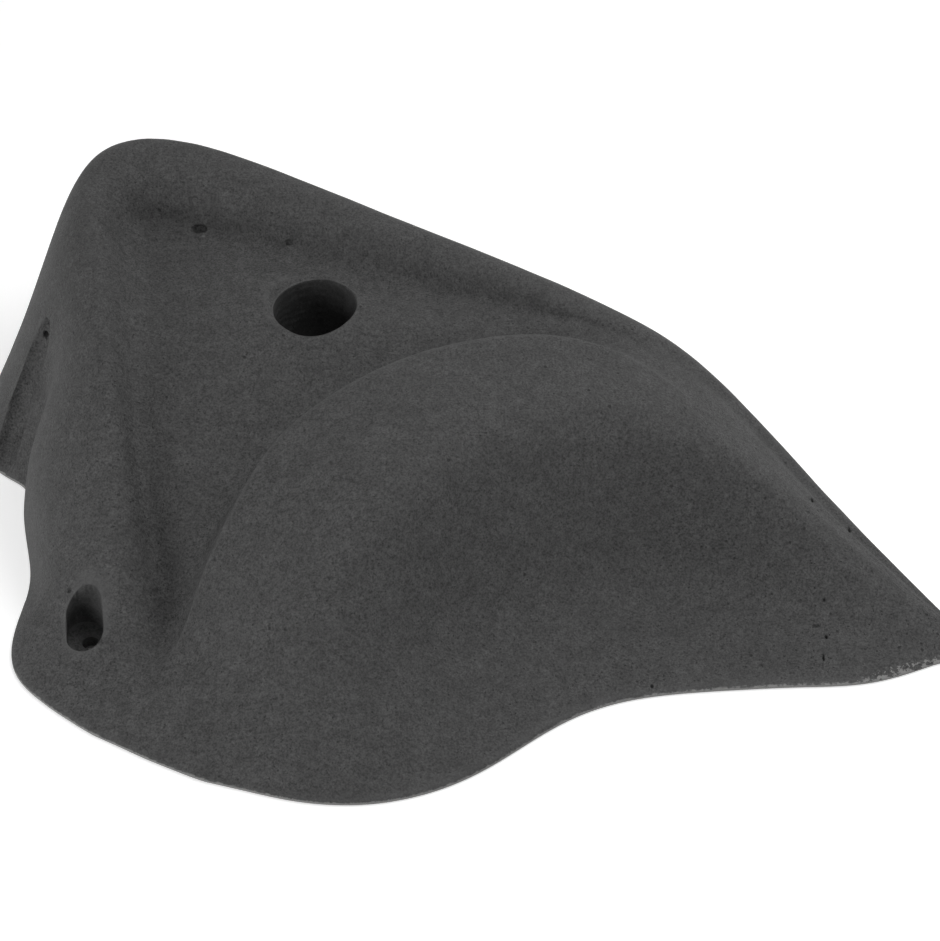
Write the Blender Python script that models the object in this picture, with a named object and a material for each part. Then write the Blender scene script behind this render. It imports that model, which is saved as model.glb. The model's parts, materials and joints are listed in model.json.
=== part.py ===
"""A large climbing hold: one cast resin body with a steel bolt washer cast into its bore.

The back is flat and lies on z = 0, where it meets the wall, and +Z points away from the wall.
The origin is the bolt axis on that back face. Blender's units are metres; the rails that carry
the body's free shape are drawn in millimetres from the bolt axis.
"""

import math

import bmesh
import bpy
from mathutils import Matrix, Vector

# Overall size of the body's plan, and the size in millimetres at which its rails are drawn
BODY_LENGTH = 0.2369
BODY_WIDTH = 0.1817
DRAWN_LENGTH = 236.9
DRAWN_WIDTH = 181.7
DRAWN_FACE_HEIGHT = 44

# Heights of the body's main levels above the back face
EDGE_HEIGHT = 0.0006
FACE_HEIGHT = 0.0440
LIP_HEIGHT = 0.0500
JUNCTION_HEIGHT = 0.0460
PEAK_HEIGHT = 0.0615

# Bolt bore: a head bore down to the cast-in washer and a narrower hole to the back
HEAD_BORE_DIAMETER = 0.0200
SHANK_BORE_DIAMETER = 0.0110
RIM_ROUNDING = 0.0007
RIM_TILT = 0.08
WASHER_SEAT_HEIGHT = 0.0180
WASHER_DIAMETER = 0.0240
WASHER_HOLE_DIAMETER = 0.0108
WASHER_THICKNESS = 0.0025
WASHER_CHAMFER = 0.0003
FIT_GAP = 0.0003

# Set screw recess in the foot, with the hole that the screw passes through; its place is in the drawing
SCREW_DRAWN_PLACE = (-51.2, -75.4)
SCREW_RECESS_DIAMETER = 0.0087
SCREW_RECESS_FLOOR = 0.0035
SCREW_RECESS_STRETCH = (-0.0006, 0.0048)
SCREW_HOLE_DIAMETER = 0.0040
SCREW_HOLE_OFFSET = (0.0008, 0.0021)

# Finger groove down the flank
GROOVE_RADIUS = 0.0043

# Fineness of the meshes
STEPS_ALONG = 5
STEPS_ACROSS = 3
ROUND_SEGMENTS = 48
RIM_STEPS = 4
GROOVE_SIDES = 20

RESIN_COLOUR = (0.061, 0.061, 0.061, 1.0)
STEEL_COLOUR = (0.55, 0.55, 0.56, 1.0)


def drawn_height(height):
    """A real height as it stands in the drawing of the rails, in millimetres."""
    return height * DRAWN_FACE_HEIGHT / FACE_HEIGHT


def drawn_to_size(point):
    """A point of the drawing at its real place, in metres."""
    along, across, height = point
    return Vector((along * BODY_LENGTH / DRAWN_LENGTH, across * BODY_WIDTH / DRAWN_WIDTH,
                   height * FACE_HEIGHT / DRAWN_FACE_HEIGHT))


def body_rails():
    """Rails of the top surface, from the front edge, over the lip and the recess, to the outer edge.

    Each rail starts on the outline of the foot and runs round the hold to its tip. Neighbouring
    rails have a point at the same station, so that the points also form sections across the hold.
    A point is (along, across, height) in millimetres of the drawing, which drawn_to_size stretches
    to the named length, width and face height.
    """
    edge, lip, junction, peak = (drawn_height(height) for height in
                                 (EDGE_HEIGHT, LIP_HEIGHT, JUNCTION_HEIGHT, PEAK_HEIGHT))
    face = DRAWN_FACE_HEIGHT
    front_edge = [(-23, -113.2, edge), (-12, -116.5, edge), (-1, -120, edge), (12, -121, edge),
                  (23, -119, edge), (33, -115, edge), (42, -109, edge), (51, -101, edge), (61, -93, edge),
                  (73, -88, edge), (86, -86, edge), (99, -85, edge), (113, -84, edge), (129, -84, edge),
                  (144, -77, edge)]
    scoop_foot = [(-35, -107, edge), (-27, -105, 4), (-18, -103, 6), (-8, -104, 9), (1, -101, 12),
                  (12, -96, 12.2), (22, -89, 11), (32, -79, 10), (44, -70, 9), (57, -65, 9), (70, -58.5, 6.8),
                  (85, -53.5, 6.1), (102, -54.5, 5.2), (124, -69, 3.6), (147, -76, edge)]
    scoop_brow = [(-42, -102.8, edge), (-33, -97, 6), (-24, -91, 10), (-14, -88, 16), (-5, -83, 25),
                  (3, -78, 33), (13, -73, 40), (22, -65, 45), (35, -53, 46), (49, -45, 46), (65, -40, 45),
                  (81, -41.5, 41), (100, -40.5, 32), (122, -55, 12.4), (150, -74, edge)]
    lip_crest = [(-48, -99.3, edge), (-38, -92, 5), (-28.5, -79.5, 9.5), (-25, -71, 21), (-18, -61, 33),
                 (-9, -45, 41), (1, -37, 45), (12, -30, lip - 2), (26, -23, lip), (39, -19, lip),
                 (54, -15, lip - 1), (74, -18, junction), (96, -32, 35), (121, -48, 15), (152, -71.7, edge)]
    lip_foot = [(-52, -96.3, edge), (-41, -90, 5), (-29.5, -80, 8), (-28, -68, 12), (-23, -55, 20),
                (-14, -40, 25.5), (-3.5, -32, 29), (6.5, -24, face - 10), (22.5, -17.5, face - 6),
                (37, -13.5, face - 4), (53, -11, face - 2.5), (74, -14, junction - 0.5), (96, -29, 35),
                (121, -46, 15), (152.3, -70.7, edge)]
    recess_floor = [(-55, -93.8, edge), (-43, -89, 5), (-30.5, -79, 7), (-30.5, -65, 9.5), (-29, -52, 20),
                    (-26, -36, 30), (-20, -18, face - 5.5), (-11, -11, face + 1.1), (3, -9, face + 3.6),
                    (21, -6, face + 2.5), (50, -5, face - 0.5), (75, -12, junction - 1), (96, -26, 35),
                    (121, -44, 14), (152.3, -69.8, edge)]
    crease = [(-57.5, -91.8, edge), (-43, -87, 5), (-31.5, -78, 6), (-33.5, -63, 8.5), (-37.5, -49.8, 19),
              (-41, -28, 33), (-38.5, 0.5, face - 1), (-49.5, 34, face - 1.6), (-28.5, 28.6, face - 1.6),
              (3, 20, face - 2.3), (42, 2, face - 2.3), (76, -10.5, junction - 1), (97, -23, 34),
              (122, -43, 14), (152.3, -69.2, edge)]
    ridge_foot = [(-60, -89.4, edge), (-46, -85.5, 5.5), (-34.5, -77, 7.5), (-36, -62.5, 13.5),
                  (-40, -48, 22.5), (-43.6, -26, 38), (-44.5, 4, 46), (-52, 36.3, 48.6), (-29.5, 27.6, 48.6),
                  (3.5, 20, 46.6), (42, 3, 46), (77, -9.5, junction - 1), (97, -21, 33), (122, -42, 13),
                  (152.3, -68.7, edge)]
    ridge_step = [(-62.5, -87, edge), (-50, -84, 6), (-38.5, -77.5, 9), (-39.5, -62, 19.5), (-42, -44.5, 30),
                  (-45.5, -22, 44), (-49.5, 9, 51.2), (-54.5, 39.5, 54.5), (-31, 33.5, 55.3), (4, 24, 52.3),
                  (42, 5.8, 50.1), (79, -8, junction - 1.2), (98, -19, 32), (122, -41, 13),
                  (152.2, -68.2, edge)]
    ridge_crest = [(-65.5, -83.7, edge), (-56, -82, 6.5), (-47, -77, 9), (-44.5, -60.5, 23.5), (-45, -39, 36),
                   (-49, -16, 50), (-55, 14, 55), (-58, 47, peak - 3), (-35, 50, peak), (4, 32.3, peak - 8.4),
                   (42, 12, 50.3), (81, -5.5, 44.3), (100, -16.5, 32.4), (124.3, -38.2, 13),
                   (152, -67.5, edge)]
    shoulder = [(-68.5, -78.5, edge), (-60, -76, 6), (-54, -73, 8), (-53.5, -58, 22.5), (-58, -31, 35),
                (-61.5, -5, 42), (-63.6, 11, 48), (-63.9, 48, 53), (-40, 58, 56), (6, 38, 48), (44, 17, 46),
                (83, -3, 38), (101.5, -16.3, 28), (125.3, -38, 11), (151.3, -67, edge)]
    flank = [(-69.5, -71, edge), (-65, -65, 5), (-61.5, -63, 8), (-64, -46, 19), (-71, -15, 24),
             (-60, -6, 22), (-73.2, -2, 27), (-70.8, 50, 27), (-42, 64, 28), (8, 42, 25), (47, 22, 23),
             (87, 2, 21), (104.3, -13.3, 16), (126.6, -36.8, 6.4), (150.7, -66.2, edge)]
    outer_edge = [(-68.5, -63, edge), (-67, -54, edge), (-67, -46, edge), (-69.5, -35, edge),
                  (-72, -20.5, edge), (-69, -16, edge), (-90, -6, edge), (-77.5, 48.5, edge), (-42, 68, edge),
                  (10, 46, edge), (49, 27, edge), (89, 7, edge), (106.5, -10.8, edge), (128.5, -35, edge),
                  (149, -65.6, edge)]
    skirt = blended(front_edge, scoop_foot, share=0.5, rise=-1.0)
    scoop_low = blended(scoop_foot, scoop_brow, share=0.3, rise=-1.0)
    scoop_high = blended(scoop_foot, scoop_brow, share=0.75, rise=-1.0)
    band = blended(scoop_brow, lip_crest, share=0.5, rise=0.5)
    lip_drop = blended(lip_crest, lip_foot, share=0.35, rise=-3.0)
    return [front_edge, skirt, scoop_foot, scoop_low, scoop_high, scoop_brow, band, lip_crest, lip_crest,
            lip_drop, lip_foot, recess_floor, crease, ridge_foot, ridge_step, ridge_crest, shoulder, flank,
            outer_edge]


def blended(first, second, share, rise):
    """A rail between two others, raised in the middle stations where there is height to raise."""
    rail = []
    for a, b in zip(first, second):
        mixed = Vector(a).lerp(Vector(b), share)
        mixed.z += rise * min(1.0, max(a[2], b[2]) / 40)
        mixed.z = max(mixed.z, min(a[2], b[2]))
        rail.append(mixed)
    return rail


def spline(points, steps):
    """Points of a uniform cubic B-spline that starts and ends on the given points."""
    controls = [Vector(p) for p in points]
    controls = [2 * controls[0] - controls[1], *controls, 2 * controls[-1] - controls[-2]]
    curve = []
    for first in range(len(controls) - 3):
        a, b, c, d = controls[first:first + 4]
        for step in range(steps):
            t = step / steps
            curve.append(((1 - t) ** 3 * a + (3 * t ** 3 - 6 * t ** 2 + 4) * b
                          + (-3 * t ** 3 + 3 * t ** 2 + 3 * t + 1) * c + t ** 3 * d) / 6)
    curve.append(controls[-2])
    return curve


def body_grid():
    """The top surface as rows of points, in metres."""
    along = [spline(rail, STEPS_ALONG) for rail in body_rails()]
    sections = [spline(section, STEPS_ACROSS) for section in zip(*along)]
    return [[drawn_to_size(point) for point in section] for section in sections]


def link_object(name, mesh):
    """Put a mesh into the scene as a named object."""
    obj = bpy.data.objects.new(name, mesh)
    bpy.context.scene.collection.objects.link(obj)
    return obj


def finish_mesh(name, bm):
    """Turn a bmesh into a mesh with its faces pointing out."""
    bmesh.ops.recalc_face_normals(bm, faces=bm.faces)
    mesh = bpy.data.meshes.new(name)
    bm.to_mesh(mesh)
    bm.free()
    return mesh


def principled(name, colour, roughness, metallic):
    """A plain Principled material."""
    material = bpy.data.materials.new(name)
    material.use_nodes = True
    shader = material.node_tree.nodes["Principled BSDF"]
    shader.inputs["Base Color"].default_value = colour
    shader.inputs["Roughness"].default_value = roughness
    shader.inputs["Metallic"].default_value = metallic
    return material


def turned(name, profile, segments=ROUND_SEGMENTS):
    """A solid turned round Z from a profile of (radius, height) points; ends on the axis are closed."""
    bm = bmesh.new()
    verts = [bm.verts.new((radius, 0, height)) for radius, height in profile]
    edges = [bm.edges.new(pair) for pair in zip(verts, verts[1:])]
    if profile[0][0] > 0:
        edges.append(bm.edges.new((verts[-1], verts[0])))
    bmesh.ops.spin(bm, geom=verts + edges, cent=(0, 0, 0), axis=(0, 0, 1), angle=2 * math.pi,
                   steps=segments, use_merge=True)
    bmesh.ops.remove_doubles(bm, verts=bm.verts, dist=1e-7)
    return link_object(name, finish_mesh(name, bm))


def cut(target, cutter):
    """Cut a tool out of an object with a Boolean that stays on it."""
    cutter.hide_render = True
    cutter.display_type = "WIRE"
    boolean = target.modifiers.new("cut_" + cutter.name, "BOOLEAN")
    boolean.operation = "DIFFERENCE"
    boolean.solver = "EXACT"
    boolean.object = cutter


def bolt_bore_cutter():
    """The bolt's way through the body: shank hole, washer groove, head bore and tilted, rounded rim."""
    head = HEAD_BORE_DIAMETER / 2
    shank = SHANK_BORE_DIAMETER / 2
    groove = WASHER_DIAMETER / 2 + FIT_GAP
    groove_top = WASHER_SEAT_HEIGHT + FIT_GAP
    groove_floor = WASHER_SEAT_HEIGHT - WASHER_THICKNESS - FIT_GAP
    below = -WASHER_SEAT_HEIGHT
    above = PEAK_HEIGHT + RIM_ROUNDING
    profile = [(0, below), (shank, below), (shank, groove_floor), (groove, groove_floor),
               (groove, groove_top), (head, groove_top)]
    for step in range(RIM_STEPS + 1):
        turn = math.pi / 2 * step / RIM_STEPS
        profile.append((head + RIM_ROUNDING * (1 - math.cos(turn)),
                        FACE_HEIGHT - RIM_ROUNDING * (1 - math.sin(turn))))
    profile += [(head + 4 * RIM_ROUNDING, FACE_HEIGHT + 3 * RIM_ROUNDING), (head + 4 * RIM_ROUNDING, above),
                (0, above)]
    cutter = turned("bolt_bore_cutter", profile)
    for vert in cutter.data.vertices:
        if vert.co.z > groove_top + FIT_GAP:
            vert.co.z += RIM_TILT * vert.co.x
    return cutter


def round_cutter(name, diameter, bottom, top, place, stretch=(0.0, 0.0)):
    """A round cutter standing at a place on the back face; stretch moves its +Y half, which makes it oval."""
    radius = diameter / 2
    cutter = turned(name, [(0, bottom), (radius, bottom), (radius, top), (0, top)], ROUND_SEGMENTS // 2)
    for vert in cutter.data.vertices:
        if vert.co.y > FIT_GAP:
            vert.co.xy += Vector(stretch)
    cutter.location = (*place, 0)
    return cutter


def finger_groove_cutter():
    """A round bar that lies along the flank, below the shoulder, and comes out of it towards the foot."""
    path = [(-64.6, 2.6, 37.8), (-65.5, 1.8, 36.3), (-67.0, 0.9, 33.2), (-69.4, -0.6, 27.4),
            (-71.8, -2.8, 21.0), (-74.0, -5.2, 14.4), (-76.0, -8.0, 8.4), (-78.3, -12.4, 3.1),
            (-80.7, -15.2, -2.2)]
    shares = [0.3, 0.65, 0.9, 1, 1, 1, 0.95, 0.7, 0.4]
    centres = [drawn_to_size(point) for point in path]
    run = (centres[-1] - centres[0]).normalized()
    bm = bmesh.new()
    rings = []
    for centre, share in zip(centres, shares):
        arm = run.orthogonal().normalized() * GROOVE_RADIUS * share
        turns = [Matrix.Rotation(2 * math.pi * side / GROOVE_SIDES, 3, run) for side in range(GROOVE_SIDES)]
        rings.append([bm.verts.new(centre + turn @ arm) for turn in turns])
    for near, far in zip(rings, rings[1:]):
        for side in range(GROOVE_SIDES):
            bm.faces.new((near[side - 1], near[side], far[side], far[side - 1]))
    bm.faces.new(rings[0])
    bm.faces.new(rings[-1])
    return link_object("finger_groove_cutter", finish_mesh("finger_groove_cutter", bm))


def make_body(parent):
    """The cast resin body."""
    grid = body_grid()
    bm = bmesh.new()
    rows = [[bm.verts.new(point) for point in row] for row in grid]
    for near, far in zip(rows, rows[1:]):
        for a, b, c, d in zip(near, near[1:], far[1:], far):
            bm.faces.new((a, b, c, d))
    rim = rows[0] + [row[-1] for row in rows[1:]] + rows[-1][-2::-1] + [row[0] for row in rows[-2:0:-1]]
    floor = [bm.verts.new((vert.co.x, vert.co.y, 0)) for vert in rim]
    for here, there, below, beneath in zip(rim, rim[1:] + rim[:1], floor[1:] + floor[:1], floor):
        bm.faces.new((here, there, below, beneath))
    bm.faces.new(floor)
    body = link_object("hold_body", finish_mesh("hold_body", bm))
    screw = drawn_to_size((*SCREW_DRAWN_PLACE, 0)).xy
    cut(body, bolt_bore_cutter())
    cut(body, finger_groove_cutter())
    cut(body, round_cutter("screw_recess_cutter", SCREW_RECESS_DIAMETER, SCREW_RECESS_FLOOR,
                           PEAK_HEIGHT, screw, SCREW_RECESS_STRETCH))
    cut(body, round_cutter("screw_hole_cutter", SCREW_HOLE_DIAMETER, -SCREW_RECESS_FLOOR,
                           SCREW_RECESS_FLOOR + FIT_GAP, screw + Vector(SCREW_HOLE_OFFSET)))
    body.data.shade_smooth()
    body.data.set_sharp_from_angle(angle=math.radians(50))
    body.data.materials.append(principled("cast_resin", RESIN_COLOUR, 0.85, 0.0))
    body.parent = parent
    return body


def make_washer(parent):
    """The steel washer that the bolt head bears on, cast into the body."""
    inner = WASHER_HOLE_DIAMETER / 2
    outer = WASHER_DIAMETER / 2
    bevel = WASHER_CHAMFER
    profile = [(inner, 0), (outer - bevel, 0), (outer, bevel), (outer, WASHER_THICKNESS - bevel),
               (outer - bevel, WASHER_THICKNESS), (inner, WASHER_THICKNESS)]
    washer = turned("bolt_washer", profile)
    washer.data.shade_smooth()
    washer.data.set_sharp_from_angle(angle=math.radians(30))
    washer.data.materials.append(principled("zinc_steel", STEEL_COLOUR, 0.4, 1.0))
    washer.location = (0, 0, WASHER_SEAT_HEIGHT - WASHER_THICKNESS)
    washer.parent = parent
    return washer


def main():
    """Clear the scene and build the hold round its bolt axis."""
    for obj in list(bpy.data.objects):
        bpy.data.objects.remove(obj)
    bolt_axis = bpy.data.objects.new("bolt_axis", None)
    bpy.context.scene.collection.objects.link(bolt_axis)
    make_body(bolt_axis)
    make_washer(bolt_axis)


main()
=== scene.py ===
"""Climbing hold: sand-textured resin body with its cast-in washer, on a pale studio floor."""

import json
import logging
import math
from dataclasses import dataclass
from enum import Enum
from typing import Union

import bmesh
import bpy
from mathutils import Matrix, Vector, noise

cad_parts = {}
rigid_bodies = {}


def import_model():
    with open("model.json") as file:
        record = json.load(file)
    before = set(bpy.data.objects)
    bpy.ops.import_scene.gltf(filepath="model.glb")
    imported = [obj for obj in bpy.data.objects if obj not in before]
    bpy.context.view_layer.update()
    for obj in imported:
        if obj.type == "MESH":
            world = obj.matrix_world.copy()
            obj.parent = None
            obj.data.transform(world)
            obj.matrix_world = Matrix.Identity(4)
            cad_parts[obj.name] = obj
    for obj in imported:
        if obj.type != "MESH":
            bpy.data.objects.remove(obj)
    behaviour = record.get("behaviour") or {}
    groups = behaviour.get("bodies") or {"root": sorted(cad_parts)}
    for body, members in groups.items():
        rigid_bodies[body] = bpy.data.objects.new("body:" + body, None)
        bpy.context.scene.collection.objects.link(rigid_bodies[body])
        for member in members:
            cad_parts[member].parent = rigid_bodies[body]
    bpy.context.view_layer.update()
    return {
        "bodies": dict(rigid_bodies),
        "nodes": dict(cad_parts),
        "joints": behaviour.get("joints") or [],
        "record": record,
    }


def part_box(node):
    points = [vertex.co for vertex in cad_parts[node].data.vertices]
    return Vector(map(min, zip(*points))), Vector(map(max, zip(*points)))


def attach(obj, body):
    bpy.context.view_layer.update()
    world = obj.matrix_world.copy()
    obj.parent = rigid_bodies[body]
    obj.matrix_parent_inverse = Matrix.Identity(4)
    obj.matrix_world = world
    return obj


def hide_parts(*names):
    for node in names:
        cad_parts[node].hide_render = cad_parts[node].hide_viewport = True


log = logging.getLogger("climbing_hold")

Socket = bpy.types.NodeSocket
Value = Union[float, tuple, Socket]
Point = tuple[float, float, float]
Colour = tuple[float, float, float, float]

WHITE: Colour = (1.0, 1.0, 1.0, 1.0)
MERGE_DISTANCE = 0.000001
NEARLY_ZERO = 1e-12


class Operation(Enum):
    """Arithmetic that a finish does on its heights and shades."""

    ADD = "ADD"
    SUBTRACT = "SUBTRACT"
    MULTIPLY = "MULTIPLY"
    LESS = "LESS_THAN"
    GREATER = "GREATER_THAN"
    LARGEST = "MAXIMUM"


class Mark(Enum):
    """Shares from 0 to 1 that the casting's points carry for its finish to read."""

    # Wear on ridges and rims, which also carries a painted highlight there.
    WORN_AND_HIGHLIT = "worn_and_highlit_edge"
    CORE_WALL = "core_wall"
    BUBBLE = "open_bubble"
    CHIP = "pale_chip"


@dataclass(frozen=True)
class Scatter:
    """Round spots scattered at random over a skin, in metres.

    A place lies every spacing or so, and a share of the places has a spot. The smallest spot's
    radius is a share of the largest's, and steepness tells how sharp the rims are.
    """

    spacing: float
    radius: float
    share: float
    smallest: float = 0.35
    steepness: float = 2.5


class NodeBoard:
    """A node tree, with short calls that add and join its nodes."""

    def __init__(self, tree: bpy.types.NodeTree) -> None:
        """Takes the tree to build in.

        Args:
            tree: the nodes of a finish or of the surroundings.
        """
        self.tree = tree

    def node(self, kind: str, inputs: dict[Union[str, int], Value] | None = None,
             **settings: object) -> bpy.types.Node:
        """Adds one node.

        Args:
            kind: Blender's name for the type of node.
            inputs: a value or a socket for each input by its name or number.
            settings: the node's own settings.

        Returns:
            The new node.
        """
        node = self.tree.nodes.new(kind)
        for name, value in settings.items():
            setattr(node, name, value)
        for key, value in (inputs or {}).items():
            self.put(node.inputs[key], value)
        return node

    def put(self, socket: Socket, value: Value) -> None:
        """Joins a socket to another, or sets its own value.

        Args:
            socket: the input to feed.
            value: a number, a tuple or an output socket.
        """
        if isinstance(value, Socket):
            self.tree.links.new(value, socket)
        else:
            socket.default_value = value

    def reckon(self, operation: Operation, *numbers: Value, clamp: bool = False) -> Socket:
        """Joins numbers by arithmetic, from the first to the last.

        Args:
            operation: what is done at each step.
            numbers: two or more numbers.
            clamp: keeps the outcome of each step between 0 and 1.

        Returns:
            The outcome's socket.
        """
        outcome = numbers[0]
        for number in numbers[1:]:
            step = self.node("ShaderNodeMath", {0: outcome, 1: number}, operation=operation.value)
            step.use_clamp = clamp
            outcome = step.outputs[0]
        return outcome

    def seen_directly(self) -> Socket:
        """Tells rays by eye, gloss or glass from those that light the hold.

        Returns:
            A socket that is 1 for those rays.
        """
        path = self.node("ShaderNodeLightPath").outputs
        return self.reckon(Operation.LARGEST, path["Is Camera Ray"], path["Is Glossy Ray"],
                           path["Is Transmission Ray"])


class FinishNodes(NodeBoard):
    """The nodes of one finish."""

    def __init__(self, name: str) -> None:
        """Starts a new material of that name.

        Args:
            name: the finish's plain name.
        """
        self.material = bpy.data.materials.new(name)
        self.material.use_nodes = True
        super().__init__(self.material.node_tree)
        self.shader = self.tree.nodes["Principled BSDF"]
        self.output = self.tree.nodes["Material Output"]
        self.place = self.node("ShaderNodeTexCoord").outputs["Object"]

    def feed(self, name: str, value: Value) -> None:
        """Feeds one of the shader's own inputs.

        Args:
            name: the input's name.
            value: a number, a tuple or an output socket.
        """
        self.put(self.shader.inputs[name], value)

    def axes(self) -> tuple[Socket, ...]:
        """Gives the sockets of the place along x, y and z."""
        return tuple(self.node("ShaderNodeSeparateXYZ", {0: self.place}).outputs)

    def spread(self, value: Value, low: float, high: float, start: float = 0.0,
               end: float = 1.0) -> Socket:
        """Maps low to high smoothly onto start to end.

        Args:
            value: the number to map.
            low: the value that gives start.
            high: the value that gives end.
            start: the first outcome.
            end: the last outcome.

        Returns:
            The outcome's socket.
        """
        inputs = {0: value, 1: low, 2: high, 3: start, 4: end}
        return self.node("ShaderNodeMapRange", inputs, interpolation_type="SMOOTHSTEP").outputs[0]

    def swing(self, cloud: Value, low: float, contrast: float, middle: float = 0.0) -> Socket:
        """Maps a cloud onto a number that swings evenly to both sides of a middle.

        Args:
            cloud: the cloud's height, from 0 to 1.
            low: the height that gives the lowest outcome; 1 less that gives the highest.
            contrast: how far the outcome swings to each side.
            middle: the outcome's middle.

        Returns:
            The outcome's socket.
        """
        return self.spread(cloud, low, 1.0 - low, middle - contrast, middle + contrast)

    def cloud(self, size: float, detail: float = 2.0, roughness: float = 0.5) -> Socket:
        """Soft random cloud.

        Args:
            size: the width of its lumps in metres.
            detail: how many finer layers it has.
            roughness: how strong those layers are.

        Returns:
            The socket of its height, from 0 to 1.
        """
        inputs = {"Vector": self.place, "Scale": 1.0 / size, "Detail": detail,
                  "Roughness": roughness}
        return self.node("ShaderNodeTexNoise", inputs).outputs[0]

    def cells(self, size: float) -> bpy.types.Node:
        """Random cells.

        Args:
            size: a cell's width in metres.

        Returns:
            The node, with Distance and Color as its outputs.
        """
        return self.node("ShaderNodeTexVoronoi", {"Vector": self.place, "Scale": 1.0 / size})

    def spots(self, scatter: Scatter) -> Socket:
        """Round spots scattered at random.

        Args:
            scatter: how many there are and how large.

        Returns:
            A socket that is 1 in a spot and 0 outside.
        """
        spacing, radius = scatter.spacing, scatter.radius
        cells = self.cells(spacing)
        pick = self.node("ShaderNodeSeparateColor", {0: cells.outputs["Color"]}).outputs
        chosen = self.reckon(Operation.LESS, pick[0], scatter.share)
        width = self.spread(pick[1], 0.0, 1.0, scatter.smallest * radius / spacing,
                            radius / spacing)
        rim = self.reckon(Operation.SUBTRACT, width, cells.outputs["Distance"])
        depth = self.reckon(Operation.MULTIPLY, rim, scatter.steepness * spacing / radius,
                            clamp=True)
        return self.reckon(Operation.MULTIPLY, depth, chosen)

    def blend(self, share: Value, first: Value, second: Value) -> Socket:
        """Mixes two colours.

        Args:
            share: how much of the second colour shows.
            first: the first colour.
            second: the second colour.

        Returns:
            The mixed colour's socket.
        """
        inputs = {0: share, 6: first, 7: second}
        return self.node("ShaderNodeMix", inputs, data_type="RGBA").outputs[2]

    def grey(self, value: Value) -> Socket:
        """Turns one number into a grey colour.

        Args:
            value: the number.

        Returns:
            The colour's socket.
        """
        return self.node("ShaderNodeCombineColor", {0: value, 1: value, 2: value}).outputs[0]

    def relief(self, height: Value, depth: float, strength: float = 1.0) -> Socket:
        """Turns a height into a tilt of the surface.

        Args:
            height: the height from 0 to 1.
            depth: what a height of 1 is in metres.
            strength: how much of it shows.

        Returns:
            The normal's socket.
        """
        inputs = {"Height": height, "Distance": depth, "Strength": strength}
        return self.node("ShaderNodeBump", inputs).outputs[0]


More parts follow.
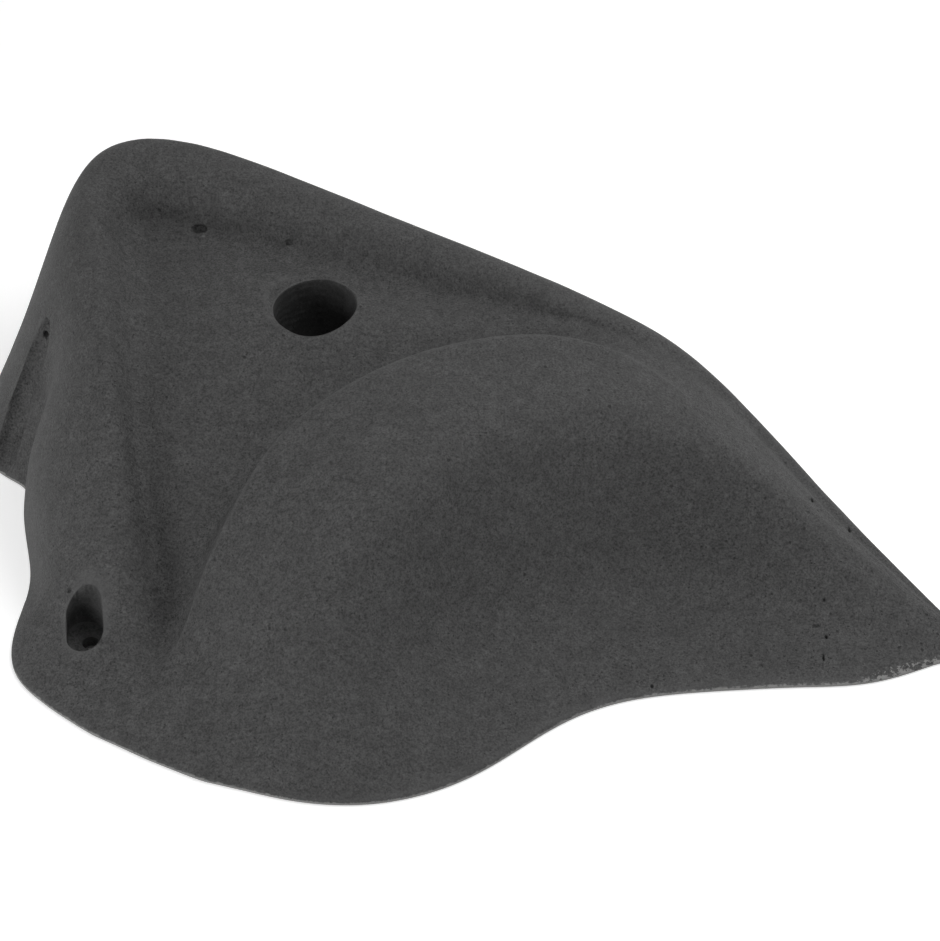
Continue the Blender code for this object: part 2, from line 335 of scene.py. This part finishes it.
@dataclass(frozen=True)
class SandTexturedResin:
    """Dark grey cast resin with its mould's sand texture, air pits and a foot that was sanded."""

    shade: float = 0.050
    grain: float = 0.00046
    grain_depth: float = 0.00020
    grain_contrast: float = 0.49
    lump: float = 0.0012
    lump_contrast: float = 0.35
    mottle: float = 0.022
    mottle_contrast: float = 0.03
    patch: float = 0.0040
    patch_contrast: float = 0.13
    smoothest: float = 0.62
    roughest: float = 0.80
    gloss: float = 0.25

    # Ridges and rims lose their grain, which is wear, and are painted lighter: on the ridges partly
    # wear and partly painted highlight, on the screw recess's far rim a painted highlight.
    worn_smoothing: float = 0.75
    wear_and_highlight_lightening: float = 0.34

    core_smoothing: float = 0.6
    core_gloss_loss: float = 0.6
    # How much darker the holes' walls are painted: painted shade for the shade deep inside the
    # holes.
    core_painted_shade: float = 0.80
    core_ridges: float = 0.30
    ridge_scale: float = 150.0
    ridge_waver: float = 5.0

    small_pits: Scatter = Scatter(0.0010, 0.00024, 0.6)
    wide_pits: Scatter = Scatter(0.0045, 0.00045, 0.5)
    toe_pits: Scatter = Scatter(0.0021, 0.00042, 0.55)
    toe_from: float = 0.050
    toe_full: float = 0.100
    pit_drop: float = 1.2
    # The pits and open bubbles are painted near black: painted shade for the shade deep inside
    # them.
    pit_painted_shade: float = 0.80
    bubble_painted_shade: float = 0.92
    hollow_painted_shade: Colour = (0.012, 0.012, 0.012, 1.0)

    grit: Scatter = Scatter(0.0013, 0.00022, 0.4)
    grit_show: float = 0.55
    grit_colour: Colour = (0.105, 0.105, 0.105, 1.0)
    specks: Scatter = Scatter(0.0062, 0.00028, 0.30)
    speck_show: float = 0.6
    speck_colour: Colour = (0.16, 0.16, 0.16, 1.0)

    sanded_height: float = 0.00056
    sanded_fade: float = 0.00015
    sanded_show: float = 0.85
    sanded_colour: Colour = (0.25, 0.25, 0.245, 1.0)
    ragged: float = 0.0011
    ragged_height: float = 0.00042
    ragged_flank: float = 0.15
    tip_start: float = 0.122
    tip_blend: float = 0.012

    def make(self) -> bpy.types.Material:
        """Builds the finish.

        Returns:
            The material.
        """
        board = FinishNodes("sand_textured_resin")
        worn_and_highlit = self.read(board, Mark.WORN_AND_HIGHLIT)
        core = self.read(board, Mark.CORE_WALL)
        smoothed = board.reckon(Operation.LARGEST,
                                board.reckon(Operation.MULTIPLY, worn_and_highlit, self.worn_smoothing),
                                board.reckon(Operation.MULTIPLY, core, self.core_smoothing))
        rough_share = board.reckon(Operation.SUBTRACT, 1.0, smoothed)
        fine = board.cloud(self.grain, roughness=0.65)
        lumps = board.cloud(self.lump, roughness=0.6)
        holes = self.holes(board, rough_share)
        height = self.height(board, fine, lumps, holes, rough_share)
        ridges = board.reckon(Operation.MULTIPLY, core, self.core_ridges, self.core_rings(board))
        height = board.reckon(Operation.ADD, height, ridges)
        shade = self.shading(board, fine, lumps, rough_share, worn_and_highlit)
        # Painted shade: the walls of the bolt hole and of the screw recess are coloured darker, for
        # the shade that falls deep inside them.
        shade = board.reckon(Operation.MULTIPLY, shade,
                             board.spread(core, 0.0, 1.0, 1.0, self.core_painted_shade))
        enclosed = board.reckon(Operation.LARGEST, self.read(board, Mark.BUBBLE),
                                board.reckon(Operation.MULTIPLY, core, self.core_gloss_loss))
        board.feed("Normal", board.relief(height, self.grain_depth))
        board.feed("Base Color", self.colour(board, shade, holes))
        board.feed("Roughness", board.spread(lumps, 0.3, 0.7, self.smoothest, self.roughest))
        board.feed("Specular IOR Level", board.spread(enclosed, 0.0, 1.0, self.gloss, 0.0))
        return board.material

    def read(self, board: FinishNodes, mark: Mark) -> Socket:
        """Reads a mark that the casting's points carry.

        Args:
            board: the finish's nodes.
            mark: the mark.

        Returns:
            The mark's socket, from 0 to 1.
        """
        return board.node("ShaderNodeAttribute", attribute_name=mark.value).outputs["Fac"]

    def holes(self, board: FinishNodes, rough_share: Value) -> Socket:
        """Scatters air pits, with more over the pointed end, where the resin was poured last.

        Args:
            board: the finish's nodes.
            rough_share: how much of the sand texture is left.

        Returns:
            A socket that is 1 in a pit.
        """
        toe = board.spread(board.axes()[0], self.toe_from, self.toe_full)
        toe_pits = board.reckon(Operation.MULTIPLY, board.spots(self.toe_pits), toe)
        holes = board.reckon(Operation.LARGEST, board.spots(self.small_pits),
                             board.spots(self.wide_pits), toe_pits)
        return board.reckon(Operation.MULTIPLY, holes, rough_share)

    def height(self, board: FinishNodes, fine: Value, lumps: Value, holes: Value,
               rough_share: Value) -> Socket:
        """Adds the grain, its lumps and the pits up to one height.

        Args:
            board: the finish's nodes.
            fine: the fine grain.
            lumps: the coarser lumps.
            holes: the pits.
            rough_share: how much of the sand texture is left.

        Returns:
            The height's socket.
        """
        grain = board.reckon(Operation.ADD, fine, lumps)
        grain = board.reckon(Operation.MULTIPLY, grain, rough_share)
        drop = board.reckon(Operation.MULTIPLY, holes, self.pit_drop)
        return board.reckon(Operation.SUBTRACT, grain, drop)

    def core_rings(self, board: FinishNodes) -> Socket:
        """Draws the faint rings that the mould's core pin leaves in the bolt hole.

        Args:
            board: the finish's nodes.

        Returns:
            The rings' height, from 0 to 1.
        """
        inputs = {"Vector": board.place, "Scale": self.ridge_scale,
                  "Distortion": self.ridge_waver, "Detail": 2.0, "Detail Scale": 1.0}
        rings = board.node("ShaderNodeTexWave", inputs, wave_type="BANDS", bands_direction="Z")
        return rings.outputs["Fac"]

    def shading(self, board: FinishNodes, fine: Value, lumps: Value, rough_share: Value,
                worn_and_highlit: Value) -> Socket:
        """Works out how light the resin is, from wide mottling down to the single grain, with
        ridges and rims painted lighter.

        Args:
            board: the finish's nodes.
            fine: the fine grain.
            lumps: the coarser lumps.
            rough_share: how much of the sand texture is left.
            worn_and_highlit: where the skin is rubbed smooth and painted lighter, partly as wear
                and partly as a painted highlight.

        Returns:
            The lightness socket.
        """
        sand = board.reckon(Operation.ADD, board.swing(fine, 0.28, self.grain_contrast),
                            board.swing(lumps, 0.25, self.lump_contrast))
        sand = board.reckon(Operation.MULTIPLY, sand, rough_share)
        sand = board.reckon(Operation.ADD, sand, 1.0)
        mottle = board.swing(board.cloud(self.mottle, detail=3.0), 0.25, self.mottle_contrast, 1.0)
        patch = board.swing(board.cloud(self.patch), 0.25, self.patch_contrast, 1.0)
        # Ridges and rims painted lighter: partly wear and partly painted highlight; on the screw
        # recess's far rim only painted highlight.
        rubbed_and_highlit = board.reckon(Operation.MULTIPLY, worn_and_highlit, self.wear_and_highlight_lightening)
        rubbed_and_highlit = board.reckon(Operation.ADD, rubbed_and_highlit, 1.0)
        return board.reckon(Operation.MULTIPLY, mottle, patch, rubbed_and_highlit, sand, self.shade)

    def colour(self, board: FinishNodes, shade: Value, holes: Value) -> Socket:
        """Colours the resin, its pits and open bubbles near black as painted shade, its few light
        specks and its sanded foot.

        Args:
            board: the finish's nodes.
            shade: how light the resin is.
            holes: the pits.

        Returns:
            The colour's socket.
        """
        # Painted shade: pits and open bubbles take a near-black colour, for the shade that falls
        # inside them.
        bubble = board.reckon(Operation.MULTIPLY, self.read(board, Mark.BUBBLE),
                              self.bubble_painted_shade)
        dark = board.reckon(Operation.LARGEST,
                            board.reckon(Operation.MULTIPLY, holes, self.pit_painted_shade), bubble)
        resin = board.blend(dark, board.grey(shade), self.hollow_painted_shade)
        grit = board.reckon(Operation.MULTIPLY, board.spots(self.grit), self.grit_show)
        resin = board.blend(grit, resin, self.grit_colour)
        specks = board.reckon(Operation.LARGEST, board.spots(self.specks),
                              self.read(board, Mark.CHIP))
        specks = board.reckon(Operation.MULTIPLY, specks, self.speck_show)
        resin = board.blend(specks, resin, self.speck_colour)
        return board.blend(self.sanded(board), resin, self.sanded_colour)

    def sanded(self, board: FinishNodes) -> Socket:
        """Finds the pale line that sanding leaves round the foot, ragged at the pointed tip.

        Args:
            board: the finish's nodes.

        Returns:
            A socket that is 1 where the resin is sanded.
        """
        place = board.axes()
        ragged = board.swing(board.cloud(self.ragged, detail=3.0, roughness=0.7), 0.35, 1.0)
        near_tip = board.spread(place[0], self.tip_start, self.tip_start + self.tip_blend,
                                self.ragged_flank, 1.0)
        extra = board.reckon(Operation.MULTIPLY, ragged, near_tip, self.ragged_height)
        level = board.reckon(Operation.SUBTRACT, place[2], extra)
        return board.spread(level, self.sanded_height, self.sanded_height + self.sanded_fade,
                            self.sanded_show, 0.0)


@dataclass(frozen=True)
class ZincPlatedSteel:
    """Dull zinc plating with fine turned marks and a few darker stains."""

    shade: float = 0.55
    stain: float = 0.0035
    stain_shade: float = 0.78
    frost: float = 0.0011
    scratch: float = 0.0004
    turning_scale: float = 900.0
    turning_waver: float = 1.5
    mark_depth: float = 0.00002
    mark_show: float = 0.6
    stained_roughness: float = 0.52
    clean_roughness: float = 0.34

    def make(self) -> bpy.types.Material:
        """Builds the finish.

        Returns:
            The material.
        """
        board = FinishNodes("zinc_plated_steel")
        stain = board.spread(board.cloud(self.stain, detail=4.0, roughness=0.6), 0.35, 0.75, 1.0,
                             self.stain_shade)
        frost = board.spread(board.cells(self.frost).outputs["Distance"], 0.0, 0.8, 0.94, 1.04)
        inputs = {"Vector": board.place, "Scale": self.turning_scale,
                  "Distortion": self.turning_waver, "Detail": 2.0}
        rings = board.node("ShaderNodeTexWave", inputs, wave_type="RINGS", rings_direction="Z")
        marks = board.reckon(Operation.ADD, rings.outputs["Fac"],
                             board.cloud(self.scratch, detail=3.0))
        shade = board.reckon(Operation.MULTIPLY, stain, frost, self.shade)
        board.feed("Base Color", board.grey(shade))
        board.feed("Normal", board.relief(marks, self.mark_depth, self.mark_show))
        board.feed("Roughness", board.spread(stain, self.stain_shade, 1.0, self.stained_roughness,
                                             self.clean_roughness))
        board.feed("Metallic", 1.0)
        return board.material


@dataclass(frozen=True)
class StudioWhite:
    """Pale matt floor that shows as white to the camera, but not through the hold's two holes."""

    shade: float = 0.80
    roughness: float = 0.9
    middle: Point = (0.030, -0.030, 0.0)
    near: float = 0.24
    far: float = 0.60
    lift: float = 0.50
    far_lift: float = 1.0
    covered: tuple[tuple[Point, float], ...] = (
        ((0.0, 0.0, 0.0), 0.020),
        ((-0.0500, -0.0735, 0.0), 0.006),
    )

    def make(self) -> bpy.types.Material:
        """Builds the finish.

        Returns:
            The material.
        """
        board = FinishNodes("studio_white")
        board.feed("Base Color", (self.shade, self.shade, self.shade, 1.0))
        board.feed("Roughness", self.roughness)
        lift = board.spread(self.apart(board, self.middle), self.near, self.far, self.lift,
                            self.far_lift)
        lift = board.reckon(Operation.MULTIPLY, board.seen_directly(), lift)
        for spot, radius in self.covered:
            open_floor = board.reckon(Operation.GREATER, self.apart(board, spot), radius)
            lift = board.reckon(Operation.MULTIPLY, lift, open_floor)
        glow = board.node("ShaderNodeEmission", {"Color": WHITE, "Strength": lift})
        both = board.node("ShaderNodeAddShader", {0: board.shader.outputs[0], 1: glow.outputs[0]})
        board.put(board.output.inputs["Surface"], both.outputs[0])
        return board.material

    def apart(self, board: FinishNodes, spot: Point) -> Socket:
        """Measures how far the floor lies from a spot.

        Args:
            board: the finish's nodes.
            spot: the spot on the floor.

        Returns:
            The distance's socket, in metres.
        """
        inputs = {0: board.place, 1: spot}
        return board.node("ShaderNodeVectorMath", inputs, operation="DISTANCE").outputs["Value"]


def link(name: str, data: bpy.types.ID) -> bpy.types.Object:
    """Adds a new object to the scene.

    Args:
        name: the object's name.
        data: its mesh, lamp or camera.

    Returns:
        The object.
    """
    thing = bpy.data.objects.new(name, data)
    bpy.context.scene.collection.objects.link(thing)
    return thing


def to_object(shape: bmesh.types.BMesh, name: str) -> bpy.types.Object:
    """Turns a mesh in the making into an object at the origin.

    Args:
        shape: the mesh in the making, which is freed.
        name: the name of the object and its mesh.

    Returns:
        The object.
    """
    mesh = bpy.data.meshes.new(name)
    shape.to_mesh(mesh)
    shape.free()
    return link(name, mesh)


@dataclass(frozen=True)
class SkinMark:
    """A small mark in the skin: an open bubble, often stretched as the resin ran, or a chip."""

    place: Point
    half_width: float
    half_height: float
    depth: float = 0.0

    def reach(self, point: Vector) -> float:
        """Tells how far out a point lies, as a share of the mark's own size.

        Args:
            point: a place on the casting.

        Returns:
            0 at the mark's middle and 1 at its rim.
        """
        step = point - Vector(self.place)
        across = math.hypot(step.y, step.z)
        return math.hypot(step.x / self.half_width, across / self.half_height)


@dataclass
class HoldBody:
    """The one resin casting, with the small unevenness and open bubbles of its skin."""

    node: str = "hold_body"
    sharp: float = math.radians(38)
    join_bend: float = math.radians(25)
    join_skew: float = math.radians(60)
    skin_levels: int = 2

    bore_radius: float = 0.0101
    bore_top: float = 0.0440
    foot_height: float = 0.0012
    wall_margin: float = 0.0001

    unevenness: float = 0.00012
    unevenness_width: float = 0.016
    unevenness_fall: float = 0.9
    unevenness_gap: float = 2.0
    unevenness_layers: int = 2

    bubble_divisions: int = 3
    bubble_step: float = 0.00030
    bubble_reach: float = 1.1
    bubble_margin: float = 0.0008
    bubble_steepness: float = 1.8
    bubbles: tuple[SkinMark, ...] = (
        SkinMark((-0.0291, 0.0278, 0.0455), 0.0022, 0.0011, 0.0016),
        SkinMark((-0.0071, 0.0222, 0.0456), 0.0010, 0.0008, 0.0008),
        SkinMark((-0.0655, 0.0040, 0.0319), 0.0008, 0.0010, 0.0008),
        SkinMark((-0.0553, -0.0655, 0.0129), 0.0007, 0.0007, 0.0006),
        SkinMark((0.1174, -0.0408, 0.0184), 0.0004, 0.0009, 0.0005),
        SkinMark((0.1262, -0.0448, 0.0125), 0.0004, 0.0009, 0.0005),
        SkinMark((0.1194, -0.0624, 0.0067), 0.0004, 0.0007, 0.0004),
        SkinMark((0.1173, -0.0678, 0.0035), 0.0011, 0.0004, 0.0004),
        SkinMark((0.1194, -0.0707, 0.0028), 0.0004, 0.0006, 0.0004),
        SkinMark((0.1184, -0.0763, 0.0018), 0.0003, 0.0013, 0.0004),
        SkinMark((0.0786, -0.0850, 0.0012), 0.0005, 0.0006, 0.0002),
    )
    chips: tuple[SkinMark, ...] = (
        SkinMark((-0.0281, 0.0259, 0.0446), 0.0006, 0.0004),
        SkinMark((-0.0412, -0.0600, 0.0190), 0.0004, 0.0004),
    )

    gentle_bend: float = 130.0
    tight_bend: float = 380.0
    bend_evening: int = 2
    most_worn_and_highlit: float = 0.6

    recess_near: tuple[float, float] = (-0.0512, -0.0754)
    recess_far: tuple[float, float] = (-0.0518, -0.0706)
    recess_radius: float = 0.00435
    recess_floor: float = 0.0040
    facing_up: float = 0.35
    far_rim: float = 0.0048
    far_side: tuple[float, float] = (0.57, 0.82)
    near_rim: float = 0.0018
    near_side: tuple[float, float] = (-0.70, -0.71)
    rim_overlap: float = 0.0002
    narrowest_rim: float = 0.0001

    def build(self, frame: dict) -> bpy.types.Object:
        """Makes the casting from the solid that it stands for.

        Args:
            frame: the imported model.

        Returns:
            The finished piece.
        """
        shape = self.take(frame["nodes"][self.node])
        self.crease(shape)
        piece = self.smooth(shape)
        self.roughen(piece.data)
        points = [vert.co for vert in piece.data.vertices]
        self.mark(piece.data, Mark.CORE_WALL, [float(self.on_core_wall(point)) for point in points])
        for mark, spots in ((Mark.BUBBLE, self.bubbles), (Mark.CHIP, self.chips)):
            shares = [max(self.hollow(spot, point) for spot in spots) for point in points]
            self.mark(piece.data, mark, shares)
        self.dress(piece)
        return piece

    def take(self, solid: bpy.types.Object) -> bmesh.types.BMesh:
        """Copies the solid and joins its loose triangles into quads.

        Args:
            solid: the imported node.

        Returns:
            Its mesh, ready to be worked on.
        """
        shape = bmesh.new()
        shape.from_mesh(solid.data)
        bmesh.ops.remove_doubles(shape, verts=shape.verts[:], dist=MERGE_DISTANCE)
        bmesh.ops.join_triangles(shape, faces=shape.faces[:], angle_face_threshold=self.join_bend,
                                 angle_shape_threshold=self.join_skew)
        return shape

    def crease(self, shape: bmesh.types.BMesh) -> None:
        """Keeps the foot's edge and the holes' inner edges crisp under subdivision.

        Args:
            shape: the mesh.
        """
        layer = shape.edges.layers.float.new("crease_edge")
        for edge in shape.edges:
            if edge.calc_face_angle(0.0) > self.sharp:
                edge[layer] = 1.0

    def smooth(self, shape: bmesh.types.BMesh) -> bpy.types.Object:
        """Turns the mesh into a smooth, finely divided one.

        Args:
            shape: the mesh, which is freed.

        Returns:
            The piece, without live modifiers.
        """
        coarse = to_object(shape, "hold_body_coarse")
        skin = coarse.modifiers.new("skin", "SUBSURF")
        skin.levels = self.skin_levels
        skin.render_levels = self.skin_levels
        graph = bpy.context.evaluated_depsgraph_get()
        fine = bpy.data.meshes.new_from_object(coarse.evaluated_get(graph))
        mesh = coarse.data
        bpy.data.objects.remove(coarse)
        bpy.data.meshes.remove(mesh)
        fine.name = "resin_casting"
        return link("resin_casting", fine)

    def roughen(self, mesh: bpy.types.Mesh) -> None:
        """Moves the skin's points by the unevenness and the bubbles, and marks the rubbed ones and
        those that get a painted highlight.

        Args:
            mesh: the finely divided mesh.
        """
        shape = bmesh.new()
        shape.from_mesh(mesh)
        self.refine(shape)
        shape.normal_update()
        worn_and_highlit = self.rubbed_and_highlit(shape)
        for vert in shape.verts:
            vert.co += vert.normal * self.shift(vert)
        shape.to_mesh(mesh)
        shape.free()
        self.mark(mesh, Mark.WORN_AND_HIGHLIT, worn_and_highlit)

    def refine(self, shape: bmesh.types.BMesh) -> None:
        """Divides the skin further round each bubble and chip.

        Args:
            shape: the finely divided mesh.
        """
        for spot in self.bubbles + self.chips:
            place = Vector(spot.place)
            widest = self.bubble_margin + self.bubble_reach * max(spot.half_width, spot.half_height)
            for _ in range(self.bubble_divisions):
                inside = [vert for vert in shape.verts if (vert.co - place).length < widest]
                near = dict.fromkeys(edge for vert in inside for edge in vert.link_edges)
                wide = [edge for edge in near if edge.calc_length() > self.bubble_step]
                bmesh.ops.subdivide_edges(shape, edges=wide, cuts=1, use_grid_fill=True)

    def rubbed_and_highlit(self, shape: bmesh.types.BMesh) -> list[float]:
        """Finds the ridges and rims, where hands and the mould's release rub the texture smooth and
        where the finish paints a highlight.

        Args:
            shape: the finely divided mesh.

        Returns:
            A share from 0 to 1 for each point, in order.
        """
        shape.verts.index_update()
        bends = [self.bend(vert) for vert in shape.verts]
        for _ in range(self.bend_evening):
            bends = [self.evened(vert, bends) for vert in shape.verts]
        span = self.tight_bend - self.gentle_bend
        ridges = [min(self.most_worn_and_highlit, (bend - self.gentle_bend) / span) for bend in bends]
        # The screw recess's up-facing rim gets a painted highlight, widest on its far right side.
        rims = [self.recess_rim_highlight(vert.co) if vert.normal.z > self.facing_up else 0.0
                for vert in shape.verts]
        return [max(0.0, ridge, rim) for ridge, rim in zip(ridges, rims)]

    def bend(self, vert: bmesh.types.BMVert) -> float:
        """Measures how sharply the skin bends outwards at a point, from its two sharpest edges.

        Args:
            vert: the point.

        Returns:
            The bend in 1/metre, which is one over the radius, and negative in a hollow.
        """
        steps = [edge.other_vert(vert).co - vert.co for edge in vert.link_edges]
        bends = sorted(-2.0 * vert.normal.dot(step) / max(step.length_squared, NEARLY_ZERO)
                       for step in steps)
        return sum(bends[-2:]) / 2.0

    def evened(self, vert: bmesh.types.BMVert, bends: list[float]) -> float:
        """Averages a point's bend with its neighbours'.

        Args:
            vert: the point.
            bends: the bend at each point, by its number.

        Returns:
            The average.
        """
        around = sum(bends[edge.other_vert(vert).index] for edge in vert.link_edges)
        return (bends[vert.index] + around) / (1 + len(vert.link_edges))

    def recess_rim_highlight(self, point: Vector) -> float:
        """Finds the screw recess's rim for a painted highlight, widest on its far right side, where
        the rounded rim catches the light.

        Args:
            point: a place on the casting.

        Returns:
            1 at the edge of that rim, falling to 0 a little way off.
        """
        out = self.from_recess(point)
        apart = out.length - self.recess_radius
        heading = out.normalized()
        farward = heading.dot(Vector(self.far_side))
        nearward = heading.dot(Vector(self.near_side))
        width = self.far_rim * farward if farward > 0.0 else self.near_rim * max(0.0, nearward)
        if apart < -self.rim_overlap or width <= self.narrowest_rim:
            return 0.0
        return max(0.0, 1.0 - max(0.0, apart) / width)

    def from_recess(self, point: Vector) -> Vector:
        """Gives the level step from the middle line of the oval screw recess to a point.

        Args:
            point: a place on the casting.

        Returns:
            The step, seen from above.
        """
        near, far = Vector(self.recess_near), Vector(self.recess_far)
        share = (point.xy - near).dot(far - near) / (far - near).length_squared
        return point.xy - near.lerp(far, min(1.0, max(0.0, share)))

    def shift(self, vert: bmesh.types.BMVert) -> float:
        """Works out how far one point moves along its normal.

        Args:
            vert: the point.

        Returns:
            The distance in metres, negative into the resin.
        """
        if vert.co.z < self.foot_height or self.on_core_wall(vert.co):
            return 0.0
        wave = noise.fractal(vert.co / self.unevenness_width, self.unevenness_fall,
                             self.unevenness_gap, self.unevenness_layers)
        deepest = max(bubble.depth * self.hollow(bubble, vert.co) for bubble in self.bubbles)
        return self.unevenness * wave - deepest

    def on_core_wall(self, point: Vector) -> bool:
        """Tells whether a core pin shaped that spot: in the bolt hole or in the screw recess.

        Args:
            point: a place on the casting.

        Returns:
            Whether it is on such a wall.
        """
        in_bore = math.hypot(point.x, point.y) < self.bore_radius and point.z < self.bore_top
        in_recess = self.from_recess(point).length < self.recess_radius + self.wall_margin
        return in_bore or (in_recess and point.z > self.recess_floor)

    def hollow(self, spot: SkinMark, point: Vector) -> float:
        """Gives a bubble's or chip's strength at a point.

        Args:
            spot: the bubble or chip.
            point: a place on the casting.

        Returns:
            1 at its middle, falling to 0 at its rim and beyond.
        """
        return min(1.0, max(0.0, self.bubble_steepness * (1.0 - spot.reach(point) ** 2)))

    def mark(self, mesh: bpy.types.Mesh, mark: Mark, shares: list[float]) -> None:
        """Writes one share for each point into the mesh, for the finish to read.

        Args:
            mesh: the mesh.
            mark: the mark.
            shares: a share from 0 to 1 for each point.
        """
        mesh.attributes.new(mark.value, "FLOAT", "POINT").data.foreach_set("value", shares)

    def dress(self, piece: bpy.types.Object) -> None:
        """Gives the casting its finish and its place in the frame.

        Args:
            piece: the casting.
        """
        piece.data.materials.clear()
        piece.data.materials.append(SandTexturedResin().make())
        piece.data.shade_smooth()
        piece.data.set_sharp_from_angle(angle=self.sharp)
        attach(piece, "root")
        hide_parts(self.node)


@dataclass
class BoltWasher:
    """The steel washer cast into the floor of the counterbore, with its stamped edges rounded."""

    node: str = "bolt_washer"
    inner: float = 0.0054
    stamped_rounding: float = 0.0005
    rounding_steps: int = 4
    rim_bend: float = math.radians(60)
    sharp: float = math.radians(40)
    steps: int = 96

    def build(self) -> bpy.types.Object:
        """Makes the washer.

        Returns:
            The finished piece.
        """
        lowest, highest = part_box(self.node)
        piece = to_object(self.ring(lowest, highest), "steel_washer")
        self.dress(piece)
        return piece

    def ring(self, lowest: Vector, highest: Vector) -> bmesh.types.BMesh:
        """Spins the washer's section round the bolt's axis and rounds its edges.

        Args:
            lowest: the solid's lowest corner.
            highest: the solid's highest corner.

        Returns:
            The washer's mesh.
        """
        shape = bmesh.new()
        outer = (highest.x - lowest.x) / 2
        corners = ((self.inner, lowest.z), (outer, lowest.z), (outer, highest.z),
                   (self.inner, highest.z))
        verts = [shape.verts.new((radius, 0.0, height)) for radius, height in corners]
        edges = [shape.edges.new(pair) for pair in zip(verts, verts[1:] + verts[:1])]
        bmesh.ops.spin(shape, geom=verts + edges, cent=(0, 0, 0), axis=(0, 0, 1), dvec=(0, 0, 0),
                       angle=math.tau, steps=self.steps, use_merge=True, use_duplicate=False)
        bmesh.ops.remove_doubles(shape, verts=shape.verts[:], dist=MERGE_DISTANCE)
        rims = [edge for edge in shape.edges if edge.calc_face_angle(0.0) > self.rim_bend]
        bmesh.ops.bevel(shape, geom=rims, offset=self.stamped_rounding, offset_type="OFFSET",
                        segments=self.rounding_steps, profile=0.5, affect="EDGES", material=-1)
        bmesh.ops.recalc_face_normals(shape, faces=shape.faces[:])
        return shape

    def dress(self, piece: bpy.types.Object) -> None:
        """Gives the washer its plating and its place in the frame.

        Args:
            piece: the washer.
        """
        piece.data.materials.append(ZincPlatedSteel().make())
        piece.data.shade_smooth()
        piece.data.set_sharp_from_angle(angle=self.sharp)
        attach(piece, "root")
        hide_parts(self.node)


@dataclass(frozen=True)
class SoftBox:
    """A flat studio lamp that faces the hold."""

    name: str
    place: Point
    width: float
    height: float
    power: float

    def hang(self, aim: Vector) -> None:
        """Puts the lamp up.

        Args:
            aim: the point it faces.
        """
        light = bpy.data.lights.new(self.name, "AREA")
        light.shape = "RECTANGLE"
        light.size = self.width
        light.size_y = self.height
        light.energy = self.power
        lamp = link(self.name, light)
        lamp.location = self.place
        lamp.rotation_euler = (Vector(self.place) - aim).to_track_quat("Z", "Y").to_euler()


@dataclass
class Studio:
    """The pale floor, the white surroundings, the soft lamps and the camera."""

    aim: Point = (0.037, -0.010, 0.0)
    distance: float = 0.825
    elevation: float = math.radians(42)
    sensor: float = 36.0
    lens: float = 128.68
    nearest_seen: float = 0.01
    floor_width: float = 6.0
    floor_drop: float = 0.0003
    world_level: float = 0.10
    lamp_aim: Point = (0.03, -0.02, 0.03)
    lamps: tuple[SoftBox, ...] = (
        SoftBox("left_front_softbox", (-0.42, -0.30, 0.14), 0.28, 0.28, 1.42),
        SoftBox("right_front_softbox", (0.30, -0.45, 0.14), 0.28, 0.28, 0.43),
        SoftBox("back_right_softbox", (0.30, 0.39, 0.36), 0.30, 0.30, 0.19),
        SoftBox("top_front_softbox", (0.035, -0.30, 0.50), 0.30, 0.28, 0.27),
        SoftBox("top_right_softbox", (0.31, -0.03, 0.50), 0.28, 0.28, 1.00),
        SoftBox("right_back_softbox", (0.46, 0.25, 0.14), 0.28, 0.28, 0.16),
        SoftBox("top_back_softbox", (0.035, 0.25, 0.50), 0.30, 0.28, 0.36),
        SoftBox("top_right_back_softbox", (0.31, 0.25, 0.50), 0.28, 0.28, 0.62),
    )

    def set_up(self) -> None:
        """Builds the whole studio."""
        self.lay_floor()
        self.light_world()
        for lamp in self.lamps:
            lamp.hang(Vector(self.lamp_aim))
        self.place_camera()

    def lay_floor(self) -> None:
        """Lays the pale floor just under the hold's back."""
        shape = bmesh.new()
        bmesh.ops.create_grid(shape, x_segments=1, y_segments=1, size=self.floor_width / 2)
        bmesh.ops.translate(shape, verts=shape.verts[:], vec=(0.0, 0.0, -self.floor_drop))
        floor = to_object(shape, "studio_floor")
        floor.data.materials.append(StudioWhite().make())

    def light_world(self) -> None:
        """Makes the surroundings white to the camera and a soft fill to the hold."""
        world = bpy.data.worlds.new("studio_surroundings")
        world.use_nodes = True
        board = NodeBoard(world.node_tree)
        fill = world.node_tree.nodes["Background"]
        board.put(fill.inputs["Color"], WHITE)
        board.put(fill.inputs["Strength"], self.world_level)
        white = board.node("ShaderNodeBackground", {"Color": WHITE, "Strength": 1.0})
        mix = board.node("ShaderNodeMixShader", {0: board.seen_directly(), 1: fill.outputs[0],
                                                 2: white.outputs[0]})
        board.put(world.node_tree.nodes["World Output"].inputs["Surface"], mix.outputs[0])
        bpy.context.scene.world = world

    def place_camera(self) -> None:
        """Sets the camera at the photograph's angle."""
        back = Vector((0.0, -math.cos(self.elevation), math.sin(self.elevation)))
        right = Vector((1.0, 0.0, 0.0))
        turn = Matrix((right, back.cross(right), back)).transposed().to_4x4()
        data = bpy.data.cameras.new("study_camera")
        data.sensor_width = self.sensor
        data.lens = self.lens
        data.clip_start = self.nearest_seen
        camera = link("study_camera", data)
        camera.matrix_world = Matrix.Translation(Vector(self.aim) + back * self.distance) @ turn
        bpy.context.scene.camera = camera


def main() -> None:
    """Builds the hold on its frame, then the studio round it."""
    logging.basicConfig(level=logging.INFO, format="%(name)s: %(message)s")
    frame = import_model()
    bpy.context.scene.view_settings.view_transform = "Standard"
    for piece in (HoldBody().build(frame), BoltWasher().build()):
        log.info("%s: %d faces", piece.name, len(piece.data.polygons))
    Studio().set_up()


if __name__ == "__main__":
    main()
